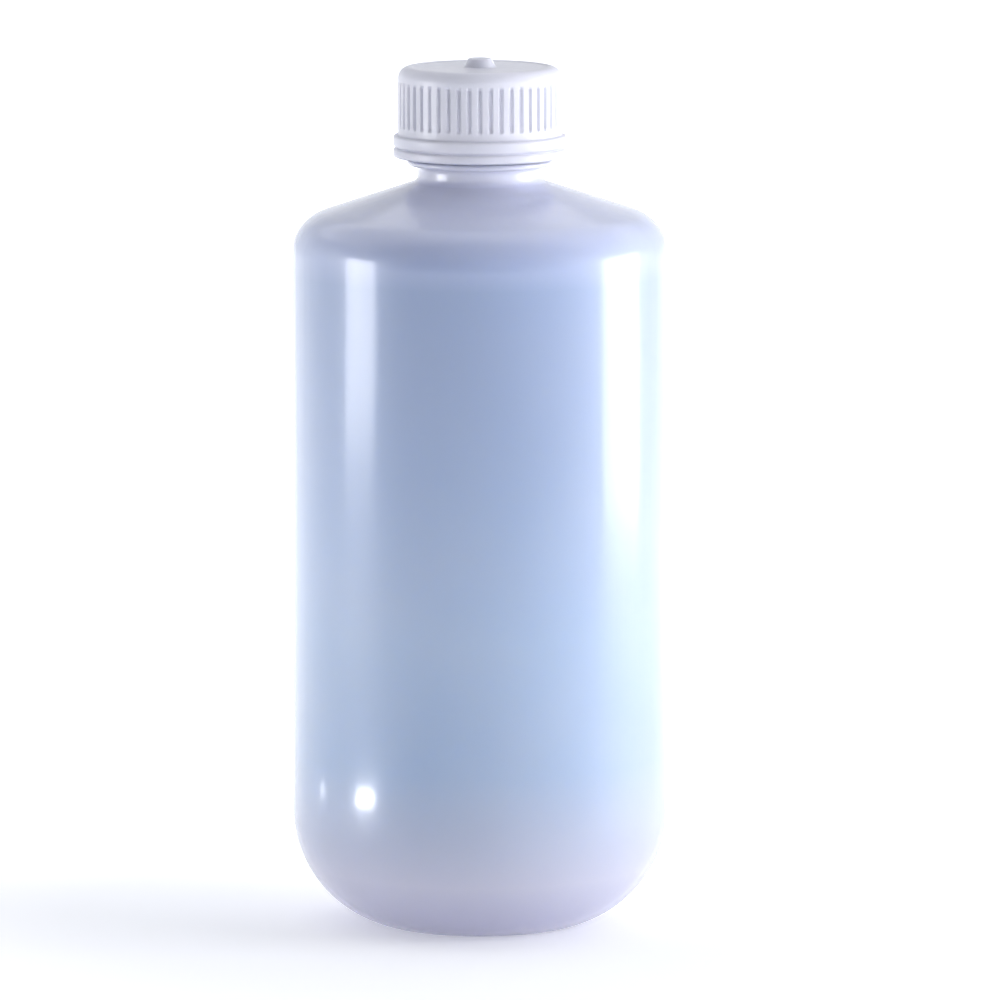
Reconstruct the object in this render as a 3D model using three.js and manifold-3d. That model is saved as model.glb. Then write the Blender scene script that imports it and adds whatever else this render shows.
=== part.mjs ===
// A 500 ml narrow-mouth laboratory reagent bottle with a 28 mm screw cap, closed.
//
// It comes apart into three pieces: the blow-moulded bottle, the injection-moulded screw cap, and
// the soft sealing disc that the cap presses on the bottle's rim. Bottle and cap carry matching
// right-hand threads, so each turn of the cap lifts it by one pitch.
//
// Millimetres, +Z up. The origin is the middle of the foot, on the surface that the bottle stands on.

import * as THREE from "three";
import { mergeVertices } from "three/addons/utils/BufferGeometryUtils.js";
import Module from "manifold-3d";

const { degToRad, radToDeg } = THREE.MathUtils;

// ---- Driving dimensions ----

const SEGMENTS = 48; // facets round every turned surface

// The body, from the foot to the shoulder.
const BODY_RADIUS = 36.7;
const WALL = 1.4;
const HEEL_RADIUS = 23; // outside, where the wall turns in to the foot
const FOOT_RADIUS = 20; // outer edge of the flat ring that the bottle stands on
const FOOT_WIDTH = 2.4;
const PUNT_DEPTH = 2.4; // how far the middle of the base is domed up
const BASE_THICKNESS = 1.8;
// The dome's outline, as shares of its radius and of its depth.
const PUNT_CURVE = [
  { across: 0.55, up: 0.86 },
  { across: 0.88, up: 0.45 },
];
const WALL_TOP = 131.6; // where the straight wall ends and the shoulder's corner begins
const SHOULDER_CORNER = 8.4;
const SHOULDER_DEGREES = 19.5; // the shoulder's slope

// The neck.
const NECK_RADIUS = 12.1;
const NECK_FILLET = 1.5;
const BORE_RADIUS = 10.4;
const BEAD_RADIUS = 14.1; // the transfer bead, just under the cap
const BEAD_BOTTOM = 148.9;
const BEAD_TOP = 150.1;
const RIM_HEIGHT = 165.5;
const RIM_ROUND = 0.5;

// The threads, six to the inch. Half widths are measured along Z at the crest. Each thread starts half
// a facet round, so that its sections fall between the edges of the wall that it stands on.
const PITCH = 25.4 / 6;
const FLANK_SLOPE = Math.tan(degToRad(18));
const ROOT_RADIUS = 12.45; // the neck's wall between its threads
const HALF_FACET = 180 / SEGMENTS;
const NECK_THREAD = { crest: 13.7, halfWidth: 0.5, firstDegree: HALF_FACET, degrees: 540, start: 157 };
const CAP_THREAD = { crest: 12.85, halfWidth: 0.45, firstDegree: HALF_FACET - 82.5, degrees: 495 };
const FADE_DEGREES = 40; // over which a thread rises to its full height at each end
const END_SHARE = 0.15; // of its full height, where it starts
const THREAD_PLAY = 0.3; // along Z, between the flanks that press on each other
const BURIAL = 0.5; // how deep threads and ribs reach into the wall that they stand on

// The cap.
const CAP_RADIUS = 15.95;
const CAP_INNER_RADIUS = 14.15;
const CAP_TOP = 168.1;
const CAP_PLATE = 1.2;
const CAP_BOTTOM = 150.5;
const CAP_ROUND = 2.2; // between the cap's top and its side
const BAND_RADIUS = 16.85; // the smooth band round the cap's lower edge
const BAND_TOP = 154.8;
const BAND_ROUND = 0.5;
const BAND_GROOVE = { height: 152.4, width: 1, depth: 0.5 };
const BOSS = { foot: 3, top: 2.4, height: 1.6 };
const RIB_COUNT = 48;
const RIB_BOTTOM = 156.3;
const RIB_TOP = 165.4;
const RIB_DEPTH = 0.5;
const RIB_WIDTH = 1.15;
const RIB_INSET = 0.04; // the ribs' crests lie this far inside the rounded top's edge
const RIB_OVERRUN = 0.2; // past each end of the ribbed stretch

// The sealing disc.
const DISC_RADIUS = 13.7;
const DISC_EDGE = 0.15;
const SEAL_GAP = 0.25; // above and below the disc, which fills it on the real bottle

const WELD = 1e-4; // vertices closer than this are one

// ---- Outlines, as radius and height ----

const at = (radius, height) => new THREE.Vector2(radius, height);

function arc(centreRadius, centreHeight, radius, fromDegrees, toDegrees, steps) {
  const points = [];
  for (let i = 0; i <= steps; i++) {
    const angle = degToRad(fromDegrees + ((toDegrees - fromDegrees) * i) / steps);
    points.push(at(centreRadius + radius * Math.cos(angle), centreHeight + radius * Math.sin(angle)));
  }
  return points;
}

// The heel's arc is centred here. It meets the floor a little short of horizontal.
const HEEL_CENTRE = BODY_RADIUS - HEEL_RADIUS;
const HEEL_DEGREES = radToDeg(Math.acos((FOOT_RADIUS - HEEL_CENTRE) / HEEL_RADIUS));
const HEEL_TOP = HEEL_RADIUS * Math.sin(degToRad(HEEL_DEGREES));
const FOOT_INNER = FOOT_RADIUS - FOOT_WIDTH;

// The shoulder is a cone that leaves the wall by a rounded corner.
const CORNER_CENTRE = BODY_RADIUS - SHOULDER_CORNER;
const SHOULDER_SLOPE = degToRad(SHOULDER_DEGREES);

function shoulderHeight(radius, inset) {
  const corner = SHOULDER_CORNER - inset;
  const startRadius = CORNER_CENTRE + corner * Math.sin(SHOULDER_SLOPE);
  const startHeight = WALL_TOP + corner * Math.cos(SHOULDER_SLOPE);
  return startHeight + (startRadius - radius) * Math.tan(SHOULDER_SLOPE);
}

// From the shoulder up into the neck, tangent to both.
function neckFillet(neckRadius, fillet, inset) {
  const footRadius = neckRadius + fillet + fillet * Math.sin(SHOULDER_SLOPE);
  const centreHeight = shoulderHeight(footRadius, inset) + fillet * Math.cos(SHOULDER_SLOPE);
  return arc(neckRadius + fillet, centreHeight, fillet, 270 - SHOULDER_DEGREES, 180, 3);
}

// The domed middle of the base, from the axis out, raised by `lift`.
function punt(lift) {
  const curve = PUNT_CURVE.map(({ across, up }) => at(FOOT_INNER * across, PUNT_DEPTH * up + lift));
  return [at(0, PUNT_DEPTH + lift), ...curve];
}

// From the middle of the base out to the heel and up to the rim.
function bottleOutside() {
  const beadRound = (BEAD_TOP - BEAD_BOTTOM) / 2;
  return [
    ...punt(0),
    at(FOOT_INNER, 0),
    ...arc(HEEL_CENTRE, HEEL_TOP, HEEL_RADIUS, -HEEL_DEGREES, 0, 9),
    ...arc(CORNER_CENTRE, WALL_TOP, SHOULDER_CORNER, 0, 90 - SHOULDER_DEGREES, 6),
    ...neckFillet(NECK_RADIUS, NECK_FILLET, 0),
    at(NECK_RADIUS, BEAD_BOTTOM),
    ...arc(BEAD_RADIUS - beadRound, BEAD_BOTTOM + beadRound, beadRound, -90, 90, 4),
    at(ROOT_RADIUS, BEAD_TOP),
    ...arc(ROOT_RADIUS - RIM_ROUND, RIM_HEIGHT - RIM_ROUND, RIM_ROUND, 0, 90, 2),
  ];
}

// From the rim down the bore to the middle of the base.
function bottleInside() {
  const heelRadius = HEEL_RADIUS - WALL;
  const baseRadius = FOOT_RADIUS - WALL / 2;
  const heelDegrees = radToDeg(Math.acos((baseRadius - HEEL_CENTRE) / heelRadius));
  return [
    ...arc(BORE_RADIUS + RIM_ROUND, RIM_HEIGHT - RIM_ROUND, RIM_ROUND, 90, 180, 2),
    ...neckFillet(BORE_RADIUS, NECK_FILLET + WALL, WALL).reverse(),
    ...arc(CORNER_CENTRE, WALL_TOP, SHOULDER_CORNER - WALL, 90 - SHOULDER_DEGREES, 0, 5),
    ...arc(HEEL_CENTRE, HEEL_TOP, heelRadius, 0, -heelDegrees, 7),
    ...punt(BASE_THICKNESS).reverse(),
  ];
}

// From the middle of the underside, down inside, round the lower edge, up the side and over the top.
function capOutline() {
  const floor = CAP_RADIUS - RIB_DEPTH;
  const ceiling = CAP_TOP - CAP_PLATE;
  const bandCentre = BAND_RADIUS - BAND_ROUND;
  const { height, width, depth } = BAND_GROOVE;
  return [
    at(0, ceiling),
    at(CAP_INNER_RADIUS, ceiling),
    at(CAP_INNER_RADIUS, CAP_BOTTOM + BAND_ROUND),
    at(CAP_INNER_RADIUS + BAND_ROUND / 2, CAP_BOTTOM),
    ...arc(bandCentre, CAP_BOTTOM + BAND_ROUND, BAND_ROUND, -90, 0, 2),
    at(BAND_RADIUS, height - width / 2),
    at(BAND_RADIUS - depth, height),
    at(BAND_RADIUS, height + width / 2),
    ...arc(bandCentre, BAND_TOP - BAND_ROUND, BAND_ROUND, 0, 90, 2),
    at(CAP_RADIUS, BAND_TOP),
    at(CAP_RADIUS, RIB_BOTTOM),
    at(floor, RIB_BOTTOM + RIB_DEPTH),
    at(floor, RIB_TOP - RIB_DEPTH),
    at(CAP_RADIUS, RIB_TOP),
    ...arc(CAP_RADIUS - CAP_ROUND, CAP_TOP - CAP_ROUND, CAP_ROUND, 0, 90, 5),
    at(BOSS.foot, CAP_TOP),
    at(BOSS.top, CAP_TOP + BOSS.height),
    at(0, CAP_TOP + BOSS.height),
  ];
}

function discOutline() {
  const bottom = RIM_HEIGHT + SEAL_GAP;
  const top = CAP_TOP - CAP_PLATE - SEAL_GAP;
  return [
    at(0, bottom),
    at(DISC_RADIUS - DISC_EDGE, bottom),
    at(DISC_RADIUS, bottom + DISC_EDGE),
    at(DISC_RADIUS, top - DISC_EDGE),
    at(DISC_RADIUS - DISC_EDGE, top),
    at(0, top),
  ];
}

// ---- Shapes ----

// An outline turned about Z. A lathe turns it about Y, so the result is stood up.
function turned(outline) {
  return new THREE.LatheGeometry(outline, SEGMENTS).rotateX(Math.PI / 2);
}

// A right-hand thread: a section that tapers from its wall to its crest, swept up a helix.
// `buried` is the radius of its hidden side, inside the wall that it stands on.
function thread({ buried, crest, halfWidth, firstDegree, degrees, start }) {
  const steps = Math.round((degrees * SEGMENTS) / 360);
  const foot = halfWidth + Math.abs(crest - buried) * FLANK_SLOPE;
  const positions = [];
  for (let i = 0; i <= steps; i++) {
    const along = (degrees * i) / steps;
    const angle = degToRad(firstDegree + along);
    const height = start + (PITCH * along) / 360;
    const rise = Math.min(1, END_SHARE + Math.min(along, degrees - along) / FADE_DEGREES);
    const top = buried + (crest - buried) * rise;
    const section = [at(buried, -foot), at(top, -halfWidth), at(top, halfWidth), at(buried, foot)];
    // A thread that points in has its section the other way round, so that its faces still point out.
    if (crest < buried) section.reverse();
    for (const { x: radius, y: up } of section) {
      positions.push(radius * Math.cos(angle), radius * Math.sin(angle), height + up);
    }
  }
  const index = [0, 1, 2, 0, 2, 3];
  for (let i = 0; i < steps; i++) {
    for (let corner = 0; corner < 4; corner++) {
      const here = 4 * i + corner;
      const beside = 4 * i + ((corner + 1) % 4);
      index.push(here, here + 4, beside, beside, here + 4, beside + 4);
    }
  }
  const end = 4 * steps;
  index.push(end, end + 2, end + 1, end, end + 3, end + 2);
  const geometry = new THREE.BufferGeometry();
  geometry.setAttribute("position", new THREE.Float32BufferAttribute(positions, 3));
  geometry.setIndex(index);
  return geometry;
}

// One upright grip rib, standing on the floor of the ribbed stretch.
function rib(angle) {
  const buried = CAP_RADIUS - RIB_DEPTH - BURIAL;
  const crest = CAP_RADIUS - RIB_INSET;
  const side = new THREE.Shape([
    at(buried, RIB_BOTTOM - RIB_OVERRUN),
    at(crest, RIB_BOTTOM - RIB_OVERRUN),
    at(crest, RIB_TOP + RIB_OVERRUN),
    at(buried, RIB_TOP + RIB_OVERRUN),
  ]);
  const bar = new THREE.ExtrudeGeometry(side, { depth: RIB_WIDTH, bevelEnabled: false });
  bar.translate(0, 0, -RIB_WIDTH / 2);
  bar.rotateX(Math.PI / 2);
  bar.rotateZ(angle);
  return bar;
}

// ---- Solids ----

const wasm = await Module();
wasm.setup();

function solidOf(geometry) {
  const bare = geometry.clone();
  bare.deleteAttribute("normal");
  bare.deleteAttribute("uv");
  const merged = mergeVertices(bare, WELD);
  const vertProperties = merged.attributes.position.array;
  const triVerts = new Uint32Array(merged.index.array);
  return new wasm.Manifold(new wasm.Mesh({ numProp: 3, vertProperties, triVerts }));
}

function geometryOf(solid) {
  const { vertProperties, triVerts } = solid.getMesh();
  const geometry = new THREE.BufferGeometry();
  geometry.setAttribute("position", new THREE.BufferAttribute(vertProperties, 3));
  geometry.setIndex(new THREE.BufferAttribute(triVerts, 1));
  geometry.computeVertexNormals();
  return geometry;
}

function bottle() {
  const shell = solidOf(turned([...bottleOutside(), ...bottleInside()]));
  return shell.add(solidOf(thread({ ...NECK_THREAD, buried: ROOT_RADIUS - BURIAL })));
}

// The cap's thread lies just under the neck's, so screwing the cap down presses their flanks together.
function capThread() {
  const overlap = (NECK_THREAD.crest - CAP_THREAD.crest) * FLANK_SLOPE;
  const drop = NECK_THREAD.halfWidth + CAP_THREAD.halfWidth + overlap + THREAD_PLAY;
  const round = (CAP_THREAD.firstDegree - NECK_THREAD.firstDegree) / 360;
  const start = NECK_THREAD.start - drop + PITCH * round;
  return thread({ ...CAP_THREAD, start, buried: CAP_INNER_RADIUS + BURIAL });
}

function screwCap() {
  let cap = solidOf(turned(capOutline())).add(solidOf(capThread()));
  for (let i = 0; i < RIB_COUNT; i++) {
    cap = cap.add(solidOf(rib(degToRad((360 * (i + 0.5)) / RIB_COUNT))));
  }
  return cap;
}

// ---- The assembly ----

function named(name, solid, look) {
  const mesh = new THREE.Mesh(geometryOf(solid), new THREE.MeshStandardMaterial(look));
  mesh.name = name;
  return mesh;
}

const milky = { color: 0xb8c2e2, roughness: 0.25, metalness: 0, transparent: true, opacity: 0.75 };
const capPlastic = { color: 0xd8dae8, roughness: 0.35, metalness: 0 };
const softWhite = { color: 0xf0f0ea, roughness: 0.7, metalness: 0 };

const reagentBottle = new THREE.Group();
reagentBottle.add(named("bottle", bottle(), milky));
reagentBottle.add(named("screw_cap", screwCap(), capPlastic));
reagentBottle.add(named("sealing_disc", solidOf(turned(discOutline())), softWhite));

export default reagentBottle;
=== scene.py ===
# A 500 ml plastic reagent bottle with a screw cap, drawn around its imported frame.
#
# Three pieces replace the three faceted solids: a blow-moulded bottle with a real wall, a ribbed
# screw cap with its inside thread, and the soft sealing disc between them. Each is an outline turned
# about the bottle's axis, with ribs, threads and moulding marks raised on it as real geometry.

import math

import bpy
import numpy as np
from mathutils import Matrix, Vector


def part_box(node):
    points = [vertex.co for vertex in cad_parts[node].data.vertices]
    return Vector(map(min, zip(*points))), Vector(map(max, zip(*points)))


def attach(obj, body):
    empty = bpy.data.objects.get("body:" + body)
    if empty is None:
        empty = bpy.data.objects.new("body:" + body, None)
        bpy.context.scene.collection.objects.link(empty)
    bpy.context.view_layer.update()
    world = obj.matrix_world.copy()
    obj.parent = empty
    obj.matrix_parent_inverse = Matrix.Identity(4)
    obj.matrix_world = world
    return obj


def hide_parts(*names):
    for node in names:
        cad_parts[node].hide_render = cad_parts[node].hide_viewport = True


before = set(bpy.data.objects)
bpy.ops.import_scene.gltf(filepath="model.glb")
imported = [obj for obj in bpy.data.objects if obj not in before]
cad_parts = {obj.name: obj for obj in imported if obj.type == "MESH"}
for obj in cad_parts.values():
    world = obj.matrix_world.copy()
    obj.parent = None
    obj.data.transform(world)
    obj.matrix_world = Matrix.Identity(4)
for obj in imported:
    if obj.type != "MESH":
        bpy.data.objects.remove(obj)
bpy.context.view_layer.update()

BOTTLE_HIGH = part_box("bottle")[1]
CAP_LOW, CAP_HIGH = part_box("screw_cap")
DISC_LOW, DISC_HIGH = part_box("sealing_disc")

MM = 0.001

# ---- Sizes, in metres ----

# The bottle's body.
BODY_RADIUS = BOTTLE_HIGH.x
RIM = BOTTLE_HIGH.z
WALL = 1.4 * MM
HEEL_RADIUS = 23 * MM
FOOT_RADIUS = 20 * MM
FOOT_INNER = 17.6 * MM
FOOT_ROUND = 0.4 * MM
PUNT_RADIUS = FOOT_INNER - 0.5 * MM
PUNT_DEPTH = 2.4 * MM
PUNT_FLAT = 0.35  # share of the foot's inner radius that stays flat in the middle of the dome
BASE_THICKNESS = 1.8 * MM
WALL_TOP = 131.6 * MM
SHOULDER_CORNER = 8.4 * MM
SHOULDER_DEGREES = 19.5
WAVE_DEPTH = 0.15 * MM  # the blown wall isn't perfectly round
WAVE_FADE = 8 * MM  # it's true again at the foot and the neck
SEAM_HEIGHT = 0.06 * MM  # the line where the mould's halves met
SEAM_WIDTH = 0.35 * MM
SEAM_DEGREES = 12  # how far the mould's seam is turned from the bottle's sides
PINCH_HEIGHT = 0.35 * MM  # the scar across the base where the mould pinched the plastic off
PINCH_LENGTH = 12 * MM
PINCH_WIDTH = 0.5 * MM
PINCH_FADE = 3 * MM

# The neck.
NECK_RADIUS = 12.1 * MM
NECK_FILLET = 1.5 * MM
BORE_RADIUS = 10.4 * MM
BEAD_RADIUS = 14.1 * MM
BEAD_BOTTOM = 148.9 * MM
BEAD_TOP = 150.1 * MM
BEAD_FILLET = 0.25 * MM
ROOT_RADIUS = 12.45 * MM
RIM_ROUND = 0.5 * MM

# Close rows of points carry each thread, between these heights.
RELIEF_GAP = 0.1 * MM
NECK_ROWS = (155.5 * MM, 164.8 * MM)
CAP_ROWS = (161.5 * MM, 152.6 * MM)

# The threads: radii of wall and crest, half the crest's width, first angle and angle swept in
# degrees, and the height of the start.
PITCH = 25.4 / 6 * MM
FLANK_SLOPE = math.tan(math.radians(18))
NECK_THREAD = {
    "wall": ROOT_RADIUS,
    "crest": 13.7 * MM,
    "half_width": 0.5 * MM,
    "first": 3.75,
    "degrees": 540,
    "start": 157 * MM,
}
CAP_THREAD = {
    "wall": 14.15 * MM,
    "crest": 12.85 * MM,
    "half_width": 0.45 * MM,
    "first": -78.75,
    "degrees": 495,
}
THREAD_PLAY = 0.3 * MM
FADE_DEGREES = 40  # each thread rises out of its wall and runs out again over this angle

# The cap's thread hangs under the neck's, with the same play all along both flanks.
FLANK_OVERLAP = (NECK_THREAD["crest"] - CAP_THREAD["crest"]) * FLANK_SLOPE
THREAD_DROP = NECK_THREAD["half_width"] + CAP_THREAD["half_width"] + FLANK_OVERLAP + THREAD_PLAY
CAP_THREAD["start"] = NECK_THREAD["start"] - THREAD_DROP + PITCH * CAP_THREAD["first"] / 360

# The cap.
CAP_BOTTOM = CAP_LOW.z
BAND_RADIUS = CAP_HIGH.x
CAP_RADIUS = 15.95 * MM
CAP_TOP = 168.1 * MM
CAP_PLATE = 1.2 * MM
CAP_CORNER = 0.6 * MM
CAP_ROUND = 2.2 * MM
LEAD_IN = 0.1 * MM
BAND_TOP = 154.8 * MM
BAND_ROUND = 0.5 * MM
BAND_FILLET = 0.3 * MM
GROOVE_HEIGHT = 152.4 * MM
GROOVE_HALF = 0.45 * MM
GROOVE_DEPTH = 0.5 * MM
RIB_COUNT = 48
RIB_BOTTOM = 156.3 * MM
RIB_TOP = 165.4 * MM
RIB_DEPTH = 0.5 * MM
RIB_SHARE = 0.5  # the rib's own share of each repeat; the rest is its flanks and the groove
RIB_FLANK = 0.35  # the share of its two flanks
RIB_SCOOP = 0.9 * MM  # the grooves run out over this length at each end
RIB_ROWS = [  # from, to, number of rows: close together at each end, where the grooves run out
    (RIB_BOTTOM - RELIEF_GAP, RIB_BOTTOM + 1.5 * MM, 10),
    (RIB_BOTTOM + 2.5 * MM, RIB_TOP - 2 * MM, 4),
    (RIB_TOP - 1 * MM, RIB_TOP + RELIEF_GAP, 10),
]
TOP_LIP = 13.2 * MM
TOP_RECESS = 0.15 * MM
RECESS_FLOOR = (12.2 * MM, 3.6 * MM)  # radii between which the top's sunk face lies flat
BOSS_FOOT = 3 * MM
BOSS_TOP = 2.4 * MM
BOSS_FILLET = 0.25 * MM
BOSS_ROUND = 0.4 * MM
DIMPLE = [(1.0, 0), (0.75, 0.08), (0.55, 0.22), (0, 0.26)]  # radius and depth, in millimetres

# The sealing disc.
IMPRINT = 0.1 * MM  # how deep the rim has pressed into the disc
IMPRINT_EDGE = 0.4 * MM
DISC_ROUND = 0.2 * MM

BOTTLE_COLUMNS = 288
CAP_COLUMNS = RIB_COUNT * 12
DISC_COLUMNS = 160
SHARP_ANGLE = math.radians(50)


# ---- Outlines: lists of (radius, height, what is raised there) ----


def arc(centre_r, centre_z, radius, start, stop, steps, relief=None):
    angles = np.radians(np.linspace(start, stop, steps + 1))
    return [(centre_r + radius * math.cos(a), centre_z + radius * math.sin(a), relief) for a in angles]


def line(start, end, steps, relief=None):
    """Evenly spaced points from start to end, both included."""
    r = np.linspace(start[0], end[0], steps + 1)
    z = np.linspace(start[1], end[1], steps + 1)
    return [(a, b, relief) for a, b in zip(r, z)]


HEEL_CENTRE = BODY_RADIUS - HEEL_RADIUS
HEEL_DEGREES = math.degrees(math.acos((FOOT_RADIUS - HEEL_CENTRE) / HEEL_RADIUS))
HEEL_TOP = HEEL_RADIUS * math.sin(math.radians(HEEL_DEGREES))
CORNER_CENTRE = BODY_RADIUS - SHOULDER_CORNER
SLOPE = math.radians(SHOULDER_DEGREES)


def shoulder_height(radius, inset):
    corner = SHOULDER_CORNER - inset
    start_r = CORNER_CENTRE + corner * math.sin(SLOPE)
    start_z = WALL_TOP + corner * math.cos(SLOPE)
    return start_z + (start_r - radius) * math.tan(SLOPE)


def neck_fillet(neck_radius, fillet, inset, steps):
    foot = neck_radius + fillet + fillet * math.sin(SLOPE)
    centre_z = shoulder_height(foot, inset) + fillet * math.cos(SLOPE)
    return arc(neck_radius + fillet, centre_z, fillet, 270 - SHOULDER_DEGREES, 180, steps)


SHOULDER_TOP = neck_fillet(NECK_RADIUS, NECK_FILLET, 0, 1)[0][1]


def shoulder(inset, fillet_points, relief, steps):
    """The corner and the cone, up to the first point of the neck's fillet."""
    corner = SHOULDER_CORNER - inset
    rounded = arc(CORNER_CENTRE, WALL_TOP, corner, 0, 90 - SHOULDER_DEGREES, steps, relief)
    cone = line(rounded[-1][:2], fillet_points[0][:2], steps, relief)
    return rounded + cone[1:-1]


def punt(lift):
    """The domed underside (or the inside of it, raised by lift), from the middle outwards."""
    points = []
    for radius in np.linspace(0, PUNT_RADIUS, 22):
        share = np.clip((radius / FOOT_INNER - PUNT_FLAT) / (1 - PUNT_FLAT), 0, 1)
        height = PUNT_DEPTH * (0.5 + 0.5 * math.cos(math.pi * share))
        points.append((radius, height + lift, "pinch"))
    return points


def bottle_outline():
    round_r = (BEAD_TOP - BEAD_BOTTOM) / 2
    fillet = neck_fillet(NECK_RADIUS, NECK_FILLET, 0, 8)
    inner_fillet = neck_fillet(BORE_RADIUS, NECK_FILLET + WALL, WALL, 8)
    inner_heel = HEEL_RADIUS - WALL
    inner_degrees = math.degrees(math.acos((FOOT_RADIUS - WALL / 2 - HEEL_CENTRE) / inner_heel))
    inner_punt = [(r, z, None) for r, z, _ in punt(BASE_THICKNESS)][:-1]
    return [
        *punt(0),
        *arc(FOOT_INNER, FOOT_ROUND, FOOT_ROUND, 200, 270, 4),
        *arc(HEEL_CENTRE, HEEL_TOP, HEEL_RADIUS, -HEEL_DEGREES, 0, 30, "wall"),
        *line((BODY_RADIUS, HEEL_TOP), (BODY_RADIUS, WALL_TOP), 40, "wall")[1:-1],
        *shoulder(0, fillet, "wall", 14),
        *fillet,
        *line((NECK_RADIUS, fillet[-1][1]), (NECK_RADIUS, BEAD_BOTTOM - BEAD_FILLET), 2)[1:],
        (NECK_RADIUS + BEAD_FILLET, BEAD_BOTTOM, None),
        *arc(BEAD_RADIUS - round_r, BEAD_BOTTOM + round_r, round_r, -90, 90, 12),
        (ROOT_RADIUS + BEAD_FILLET, BEAD_TOP, None),
        *line((ROOT_RADIUS, BEAD_TOP + BEAD_FILLET), (ROOT_RADIUS, NECK_ROWS[0] - RELIEF_GAP), 3),
        *line((ROOT_RADIUS, NECK_ROWS[0]), (ROOT_RADIUS, NECK_ROWS[1]), 72, "neck_thread"),
        *arc(ROOT_RADIUS - RIM_ROUND, RIM - RIM_ROUND, RIM_ROUND, 0, 90, 6),
        *arc(BORE_RADIUS + RIM_ROUND, RIM - RIM_ROUND, RIM_ROUND, 90, 180, 6),
        *line((BORE_RADIUS, RIM - RIM_ROUND), inner_fillet[-1][:2], 5)[1:-1],
        *inner_fillet[::-1],
        *shoulder(WALL, inner_fillet, None, 10)[::-1],
        *line((BODY_RADIUS - WALL, WALL_TOP), (BODY_RADIUS - WALL, HEEL_TOP), 12)[1:-1],
        *arc(HEEL_CENTRE, HEEL_TOP, inner_heel, 0, -inner_degrees, 20),
        *inner_punt[::-1],
    ]


def band_groove():
    points = []
    for across in np.linspace(-1, 1, 11):
        depth = GROOVE_DEPTH * (0.5 + 0.5 * math.cos(math.pi * across))
        points.append((BAND_RADIUS - depth, GROOVE_HEIGHT + across * GROOVE_HALF, None))
    return points


def rib_rows():
    rows = []
    for low, high, count in RIB_ROWS:
        rows.extend(line((CAP_RADIUS, low), (CAP_RADIUS, high), count, "rib"))
    return rows


def cap_inside():
    """From the middle of the ceiling, down the thread and out to the lower edge."""
    ceiling = CAP_TOP - CAP_PLATE
    inner = CAP_THREAD["wall"]
    return [
        *line((0, ceiling), (inner - CAP_CORNER, ceiling), 6),
        *arc(inner - CAP_CORNER, ceiling - CAP_CORNER, CAP_CORNER, 90, 0, 4)[1:],
        *line((inner, ceiling - 2 * CAP_CORNER), (inner, CAP_ROWS[0] + RELIEF_GAP), 2),
        *line((inner, CAP_ROWS[0]), (inner, CAP_ROWS[1]), 50, "cap_thread"),
        (inner, CAP_BOTTOM + 4 * LEAD_IN, None),
        (inner + LEAD_IN, CAP_BOTTOM + LEAD_IN, None),
        (inner + 3 * LEAD_IN, CAP_BOTTOM, None),
    ]


def cap_outside():
    """From the lower edge, up the band and the ribs, over the top to the tip of the stub."""
    band_centre = BAND_RADIUS - BAND_ROUND
    floor = CAP_TOP - TOP_RECESS
    return [
        *arc(band_centre, CAP_BOTTOM + BAND_ROUND, BAND_ROUND, -90, 0, 6),
        *band_groove(),
        *arc(band_centre, BAND_TOP - BAND_ROUND, BAND_ROUND, 0, 90, 6),
        *arc(CAP_RADIUS + BAND_FILLET, BAND_TOP + BAND_FILLET, BAND_FILLET, 270, 180, 3),
        *rib_rows(),
        *arc(CAP_RADIUS - CAP_ROUND, CAP_TOP - CAP_ROUND, CAP_ROUND, 0, 90, 12),
        (TOP_LIP, CAP_TOP, None),
        (TOP_LIP - TOP_RECESS, CAP_TOP - TOP_RECESS / 2, None),
        (TOP_LIP - 2 * TOP_RECESS, floor, None),
        *line((RECESS_FLOOR[0], floor), (RECESS_FLOOR[1], floor), 4),
        *arc(BOSS_FOOT + BOSS_FILLET, floor + BOSS_FILLET, BOSS_FILLET, 270, 190, 3),
        *arc(BOSS_TOP - BOSS_ROUND, CAP_HIGH.z - BOSS_ROUND, BOSS_ROUND, 20, 90, 5),
        *[(radius * MM, CAP_HIGH.z - depth * MM, None) for radius, depth in DIMPLE],
    ]


def disc_outline():
    """The underside with the rim's ring pressed in, then the edge and the flat top."""
    low, high = DISC_LOW.z, DISC_HIGH.z
    flat = DISC_HIGH.x - DISC_ROUND
    underside = []
    for radius in np.linspace(0, flat, 36):
        inside = np.clip((radius - BORE_RADIUS) / IMPRINT_EDGE, 0, 1)
        outside = np.clip((ROOT_RADIUS - radius) / IMPRINT_EDGE, 0, 1)
        underside.append((radius, low + IMPRINT * min(inside, outside), None))
    return [
        *underside,
        *arc(flat, low + DISC_ROUND, DISC_ROUND, -90, 0, 4)[1:],
        *arc(flat, high - DISC_ROUND, DISC_ROUND, 0, 90, 4),
        *line((flat, high), (0, high), 8)[1:],
    ]


# ---- What is raised on the outlines ----


def smooth(t):
    t = np.clip(t, 0, 1)
    return t * t * (3 - 2 * t)


def thread_relief(angle, height, thread):
    """How far the thread stands out of its wall, at each angle of one row."""
    depth = abs(thread["crest"] - thread["wall"])
    raised = np.zeros_like(angle)
    for turn in range(-1, 3):
        along = np.degrees(angle) - thread["first"] + 360 * turn
        middle = thread["start"] + PITCH * along / 360
        from_end = np.minimum(along, thread["degrees"] - along)
        fade = smooth(from_end / FADE_DEGREES)
        rise = (thread["half_width"] - np.abs(height - middle)) / FLANK_SLOPE + depth
        raised = np.maximum(raised, np.minimum(rise, depth * fade))
    return raised


def seam_relief(angle, radius):
    """The mould's seam: a fine ridge up both sides of the bottle."""
    turned = (angle - math.radians(SEAM_DEGREES) + math.pi / 2) % math.pi - math.pi / 2
    return SEAM_HEIGHT * np.exp(-((turned * radius / SEAM_WIDTH) ** 2))


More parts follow.
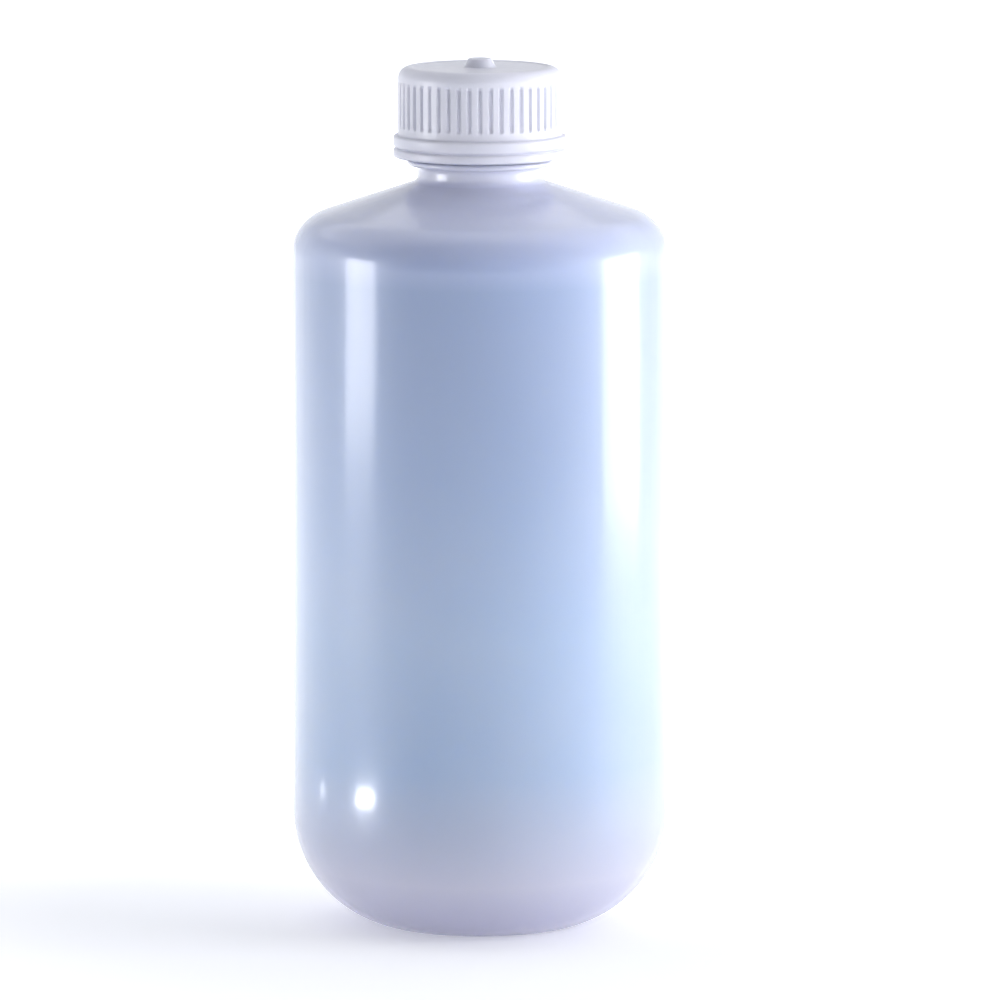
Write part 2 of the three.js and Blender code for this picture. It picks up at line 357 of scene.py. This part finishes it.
def wave_relief(angle, height):
    """A slow unevenness of the blown wall, always inwards."""
    z = height / BODY_RADIUS
    wave = np.sin(2 * angle + 2.1 * z)
    wave += 0.6 * np.sin(3 * angle - 3.4 * z + 1)
    wave += 0.4 * np.sin(5 * angle + 4.3 * z)
    fade = smooth(height / WAVE_FADE) * smooth((SHOULDER_TOP - height) / WAVE_FADE)
    return -WAVE_DEPTH * fade * (0.5 + 0.25 * wave)


def rib_relief(angle, height):
    """The depth of the grooves between the ribs, with scooped ends."""
    across = np.abs((angle * RIB_COUNT / (2 * math.pi)) % 1 - 0.5) * 2
    groove = smooth((across - RIB_SHARE) / RIB_FLANK)
    from_end = min(height - RIB_BOTTOM, RIB_TOP - height)
    return -RIB_DEPTH * groove * math.sqrt(smooth(from_end / RIB_SCOOP))


def pinch_relief(angle, radius):
    """The scar of the pinch-off: a shallow straight line across the base."""
    turned = angle - math.radians(SEAM_DEGREES)
    off_line = radius * np.sin(turned)
    to_end = smooth((PINCH_LENGTH - radius * np.abs(np.cos(turned))) / PINCH_FADE)
    return -PINCH_HEIGHT * to_end * np.exp(-((off_line / PINCH_WIDTH) ** 2))


def bottle_relief(relief, angle, radius, height):
    if relief == "neck_thread":
        return radius + thread_relief(angle, height, NECK_THREAD), height
    if relief == "wall":
        return radius + wave_relief(angle, height) + seam_relief(angle, radius), height
    if relief == "pinch":
        return radius, height + pinch_relief(angle, radius)
    return radius, height


def cap_relief(relief, angle, radius, height):
    if relief == "cap_thread":
        return radius - thread_relief(angle, height, CAP_THREAD), height
    if relief == "rib":
        return radius + rib_relief(angle, height), height
    return radius, height


def plain(relief, angle, radius, height):
    return radius, height


# ---- Meshes ----


def turned_points(outline, angle, relief):
    """One ring of points for each point of the outline, and a single point on the axis at each end."""
    _, first_height, first_kind = outline[0]
    start = relief(first_kind, angle, 0, first_height)[1]
    points = [(0, 0, float(np.mean(start)))]
    for radius, height, kind in outline[1:-1]:
        r, z = relief(kind, angle, radius, height)
        points.extend(zip(r * np.cos(angle), r * np.sin(angle), z + 0 * angle))
    points.append((0, 0, outline[-1][1]))
    return points


def turned_faces(rings, columns):
    """Four-sided faces between the rings, and a fan of triangles round the point at each end."""
    beside = np.roll(np.arange(columns), -1)
    faces = [(0, 1 + b, 1 + a) for a, b in enumerate(beside)]
    for ring in range(rings - 1):
        low = 1 + ring * columns
        high = low + columns
        faces.extend((low + a, low + b, high + b, high + a) for a, b in enumerate(beside))
    last = 1 + rings * columns
    top = last - columns
    faces.extend((top + a, top + b, last) for a, b in enumerate(beside))
    return faces


def turned_mesh(name, outline, columns, relief=plain):
    """One closed surface: the outline turned about the axis, starting and ending on it."""
    angle = np.linspace(0, 2 * math.pi, columns, endpoint=False)
    mesh = bpy.data.meshes.new(name)
    mesh.from_pydata(turned_points(outline, angle, relief), [], turned_faces(len(outline) - 2, columns))
    mesh.shade_smooth()
    mesh.set_sharp_from_angle(angle=SHARP_ANGLE)
    piece = bpy.data.objects.new(name, mesh)
    bpy.context.scene.collection.objects.link(piece)
    return piece


# ---- Materials ----


class Nodes:
    """A material's node tree, with one short call for each node."""

    def __init__(self, name):
        self.material = bpy.data.materials.new(name)
        self.material.use_nodes = True
        self.tree = self.material.node_tree
        self.shader = self.tree.nodes["Principled BSDF"]
        self.place = self.add("ShaderNodeTexCoord").outputs["Object"]

    def add(self, kind, settings=None, **inputs):
        node = self.tree.nodes.new(kind)
        for key, value in (settings or {}).items():
            setattr(node, key, value)
        for key, value in inputs.items():
            self.put(node.inputs[key.replace("_", " ")], value)
        return node

    def put(self, socket, value):
        if isinstance(value, bpy.types.NodeSocket):
            self.tree.links.new(value, socket)
        else:
            socket.default_value = value

    def set(self, **inputs):
        for key, value in inputs.items():
            self.put(self.shader.inputs[key.replace("_", " ")], value)

    def noise(self, scale, detail=3.0, stretch=(1, 1, 1)):
        """Noise between 0 and 1, with scale in features per metre."""
        mapping = self.add("ShaderNodeMapping", Vector=self.place, Scale=stretch)
        node = self.add("ShaderNodeTexNoise", Vector=mapping.outputs[0], Scale=scale, Detail=detail)
        return node.outputs["Fac"]

    def between(self, value, low, high, to_low, to_high):
        node = self.add("ShaderNodeMapRange", Value=value)
        for key, number in (("From Min", low), ("From Max", high), ("To Min", to_low), ("To Max", to_high)):
            node.inputs[key].default_value = number
        return node.outputs[0]

    def mix(self, share, first, second):
        node = self.add("ShaderNodeMix", {"data_type": "RGBA"})
        self.put(node.inputs["Factor"], share)
        for socket, value in ((node.inputs[6], first), (node.inputs[7], second)):
            self.put(socket, value)
        return node.outputs[2]

    def height(self):
        return self.add("ShaderNodeSeparateXYZ", Vector=self.place).outputs["Z"]

    def bump(self, height, strength, distance, normal=None):
        node = self.add("ShaderNodeBump", Height=height, Strength=strength, Distance=distance)
        if normal is not None:
            self.put(node.inputs["Normal"], normal)
        return node.outputs["Normal"]


def bottle_plastic():
    """Natural blow-moulded polypropylene: milky, cool, softly glossy, with flow lines up the wall.

    Its colour changes with height, from the heel to the wall, the shoulder and the neck: painted shade
    darkens the foot and the upper wall, and painted light brightens the band above the foot and the
    shoulder.
    """
    n = Nodes("bottle_plastic")
    cloud = n.between(n.noise(28, 2), 0.35, 0.65, 0, 1)
    flow = n.noise(420, 2, (1, 1, 0.04))
    grain = n.noise(2600, 2)
    height = n.height()
    color = n.mix(cloud, (0.50, 0.65, 0.96, 1), (0.55, 0.68, 0.96, 1))
    # Painted shade and light low on the bottle: a darker grey foot where it stands on the floor, and a
    # lighter band just above it.
    heel = n.mix(n.between(height, 0.002, 0.012, 0, 1), (0.56, 0.56, 0.75, 1), (0.74, 0.75, 0.95, 1))
    for bottom, top, above in (
        # painted shade: the upper wall is darker just below the shoulder
        (0.06, 0.125, (0.36, 0.46, 0.69, 1)),  # the upper wall
        # painted light: the upward-facing shoulder is lighter, as if lit and reflecting from above
        (0.128, 0.142, (0.69, 0.73, 1, 1)),  # the shoulder
        (0.143, 0.147, (0.76, 0.78, 0.96, 1)),  # the neck
    ):
        color = n.mix(n.between(height, bottom, top, 0, 1), color, above)
    n.set(Base_Color=n.mix(n.between(height, 0.012, 0.034, 0, 1), heel, color))
    n.set(Roughness=n.between(flow, 0.3, 0.7, 0.30, 0.42))
    fine = n.bump(grain, 0.2, 0.00005)
    n.set(Normal=n.bump(flow, 0.3, 0.0001, fine))
    n.set(IOR=1.49, Transmission_Weight=0.25, Subsurface_Weight=0.6, Subsurface_Scale=0.003)
    n.set(Subsurface_Radius=(0.9, 0.95, 1))
    n.set(Coat_Weight=0.8, Coat_Roughness=0.15, Coat_IOR=1.49)
    return n.material


def cap_plastic():
    """Injection-moulded polypropylene: whiter and denser than the bottle, with a satin tool finish."""
    n = Nodes("cap_plastic")
    cloud = n.between(n.noise(90, 2), 0.35, 0.65, 0, 1)
    grain = n.noise(5200, 3)
    satin = n.noise(700, 3)
    n.set(Base_Color=n.mix(cloud, (0.70, 0.71, 0.80, 1), (0.74, 0.74, 0.83, 1)))
    n.set(Roughness=n.between(satin, 0.3, 0.7, 0.34, 0.46))
    n.set(Normal=n.bump(grain, 0.18, 0.00004))
    n.set(IOR=1.49, Transmission_Weight=0.15, Subsurface_Weight=0.5, Subsurface_Scale=0.002)
    n.set(Subsurface_Radius=(1, 1, 1))
    n.set(Coat_Weight=0.15, Coat_Roughness=0.2)
    return n.material


def disc_foam():
    """Expanded polyethylene: soft, matte and very finely celled."""
    n = Nodes("disc_foam")
    cells = n.add("ShaderNodeTexVoronoi", Vector=n.place, Scale=3800.0).outputs["Distance"]
    patches = n.noise(300, 2)
    n.set(Base_Color=n.mix(patches, (0.86, 0.86, 0.83, 1), (0.93, 0.93, 0.91, 1)))
    n.set(Roughness=n.between(cells, 0, 0.6, 0.75, 0.9))
    n.set(Normal=n.bump(cells, 0.5, 0.00008))
    n.set(Subsurface_Weight=0.2, Subsurface_Scale=0.002)
    return n.material


def floor_paper():
    """Matte white paper that glows more with distance, so that it runs into the white background."""
    n = Nodes("floor_paper")
    fibres = n.noise(900, 4)
    n.set(Base_Color=n.mix(fibres, (0.90, 0.90, 0.91, 1), (0.93, 0.93, 0.94, 1)))
    n.set(Roughness=0.85, Normal=n.bump(fibres, 0.05, 0.0001))
    far = n.add("ShaderNodeVectorMath", {"operation": "LENGTH"})
    n.put(far.inputs[0], n.place)
    n.set(Emission_Color=(0.97, 0.98, 1, 1))
    n.set(Emission_Strength=n.between(far.outputs["Value"], 0.08, 0.5, 0.30, 1.0))
    return n.material


# ---- The pieces ----


def add_piece(piece, material, body, node):
    piece.data.materials.append(material)
    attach(piece, body)
    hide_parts(node)


bottle = turned_mesh("bottle_shell", bottle_outline(), BOTTLE_COLUMNS, bottle_relief)
cap = turned_mesh("ribbed_cap", cap_inside() + cap_outside(), CAP_COLUMNS, cap_relief)
disc = turned_mesh("seal", disc_outline(), DISC_COLUMNS)

add_piece(bottle, bottle_plastic(), "bottle", "bottle")
add_piece(cap, cap_plastic(), "cap", "screw_cap")
add_piece(disc, disc_foam(), "disc", "sealing_disc")


# ---- The stage, the camera and the lights ----

# The world as a light. Each row is a range of the direction's Y or Z and the strengths at its ends.
FRONT_TO_SIDE = (-0.85, 0.0, 0.0, 1.85)
RIGHT_BIAS = 0.02  # added from the right, taken away from the left
SIDE_TO_BACK = (0.2, 0.9, 1.0, 0.6)
SIDE_TO_ABOVE = (0.1, 0.7, 1.0, 0.15)
WORLD_COLOR = (0.95, 0.97, 1, 1)

# Name, place, target, width, height, watts, whether it lights surfaces, whether they reflect it.
SOFTBOXES = [
    ("left_strip", (-0.465, -0.114, 0.1385), (0, -0.02, 0.1385), 0.184, 0.193, 1.08, False, True),
    ("right_strip", (0.473, 0.0385, 0.1275), (0, -0.02, 0.1275), 0.27, 0.215, 1.55, False, True),
    ("overhead", (0.2, 0.58, 0.9), (0.2, 0.58, 0), 2.8, 1.4, 11.0, True, True),
    ("right_fill", (1.2, -0.3, 0.4), (0, 0, 0.12), 0.8, 0.8, 10.5, True, False),
    (
        "heel_spark", (-0.0466, -0.0356, 0.0245), (-0.0224, -0.0291, 0.0245),
        0.0105, 0.0037, 0.0035, False, True,
    ),
    (
        "heel_streak", (-0.0717, -0.0008, 0.021), (-0.0309, -0.0198, 0.021),
        0.004, 0.003, 0.0003, False, True,
    ),
]
ROUND_LAMP = "heel_spark"
LAMP_COLOR = (0.94, 0.95, 1)

# A snooted lamp on the cap and neck: place, target, half angle in degrees, watts.
CAP_SPOT = ((0.55, -0.72, 0.24), (0.006, 0, 0.163), 1.9, 47.0)
SPOT_BLEND = 1.0
SPOT_SOFTNESS = 0.05

FLOOR_REACH = 6

CAMERA_DISTANCE = 1.8
CAMERA_HEIGHT = 0.335
AIM = Vector((0.0039, 0, 0.083))
LENS = 334.6  # millimetres, on a sensor this wide
SENSOR = 36


def face(thing, target):
    thing.rotation_euler = (Vector(target) - thing.location).to_track_quat("-Z", "Y").to_euler()


def add_camera():
    camera = bpy.data.objects.new("camera", bpy.data.cameras.new("camera"))
    camera.location = (0, -CAMERA_DISTANCE, CAMERA_HEIGHT)
    camera.data.lens = LENS
    camera.data.sensor_width = SENSOR
    face(camera, AIM)
    bpy.context.scene.collection.objects.link(camera)
    bpy.context.scene.camera = camera


def add_softbox(name, place, target, width, height, power, lights, reflects):
    data = bpy.data.lights.new(name, "AREA")
    data.shape = "ELLIPSE" if name == ROUND_LAMP else "RECTANGLE"
    data.size = width
    data.size_y = height
    data.energy = power
    data.color = LAMP_COLOR
    light = bpy.data.objects.new(name, data)
    light.location = place
    light.visible_camera = False
    light.visible_diffuse = lights
    light.visible_glossy = reflects
    bpy.context.scene.collection.objects.link(light)
    face(light, target)


def add_spot(place, target, half_angle, power):
    data = bpy.data.lights.new("cap_spot", "SPOT")
    data.spot_size = math.radians(2 * half_angle)
    data.spot_blend = SPOT_BLEND
    data.shadow_soft_size = SPOT_SOFTNESS
    data.energy = power
    light = bpy.data.objects.new("cap_spot", data)
    light.location = place
    light.visible_glossy = False
    bpy.context.scene.collection.objects.link(light)
    face(light, target)


def add_floor():
    mesh = bpy.data.meshes.new("floor")
    corners = [(x * FLOOR_REACH, y * FLOOR_REACH, 0) for x, y in ((-1, -1), (1, -1), (1, 1), (-1, 1))]
    mesh.from_pydata(corners, [], [(0, 1, 2, 3)])
    floor = bpy.data.objects.new("floor", mesh)
    floor.data.materials.append(floor_paper())
    bpy.context.scene.collection.objects.link(floor)


def add_world():
    """White to look at. As a light it is dark in front, brightest at the sides and dim above."""
    world = bpy.data.worlds.new("studio")
    bpy.context.scene.world = world
    world.use_nodes = True
    tree = world.node_tree
    background = tree.nodes["Background"]

    def node(kind, *inputs):
        made = tree.nodes.new(kind)
        for socket, value in zip(made.inputs, inputs):
            if isinstance(value, bpy.types.NodeSocket):
                tree.links.new(value, socket)
            elif value is not None:
                socket.default_value = value
        return made

    direction = node("ShaderNodeTexCoord").outputs["Generated"]
    split = node("ShaderNodeSeparateXYZ", direction)
    from_front = node("ShaderNodeMapRange", split.outputs["Y"], *FRONT_TO_SIDE).outputs[0]
    with_right = node("ShaderNodeMath", split.outputs["X"], RIGHT_BIAS, from_front)
    with_right.operation = "MULTIPLY_ADD"
    behind = node("ShaderNodeMapRange", split.outputs["Y"], *SIDE_TO_BACK).outputs[0]
    above = node("ShaderNodeMapRange", split.outputs["Z"], *SIDE_TO_ABOVE).outputs[0]
    dimmed = node("ShaderNodeMath", behind, above)
    dimmed.operation = "MULTIPLY"
    shaped = node("ShaderNodeMath", with_right.outputs[0], dimmed.outputs[0])
    shaped.operation = "MULTIPLY"
    seen = node("ShaderNodeLightPath").outputs["Is Camera Ray"]
    strength = node("ShaderNodeMix", seen, None, shaped.outputs[0], 1.0)
    tree.links.new(strength.outputs[0], background.inputs["Strength"])
    background.inputs["Color"].default_value = WORLD_COLOR


add_camera()
add_floor()
add_world()
for lamp in SOFTBOXES:
    add_softbox(*lamp)
add_spot(*CAP_SPOT)

bpy.context.scene.view_settings.view_transform = "Standard"
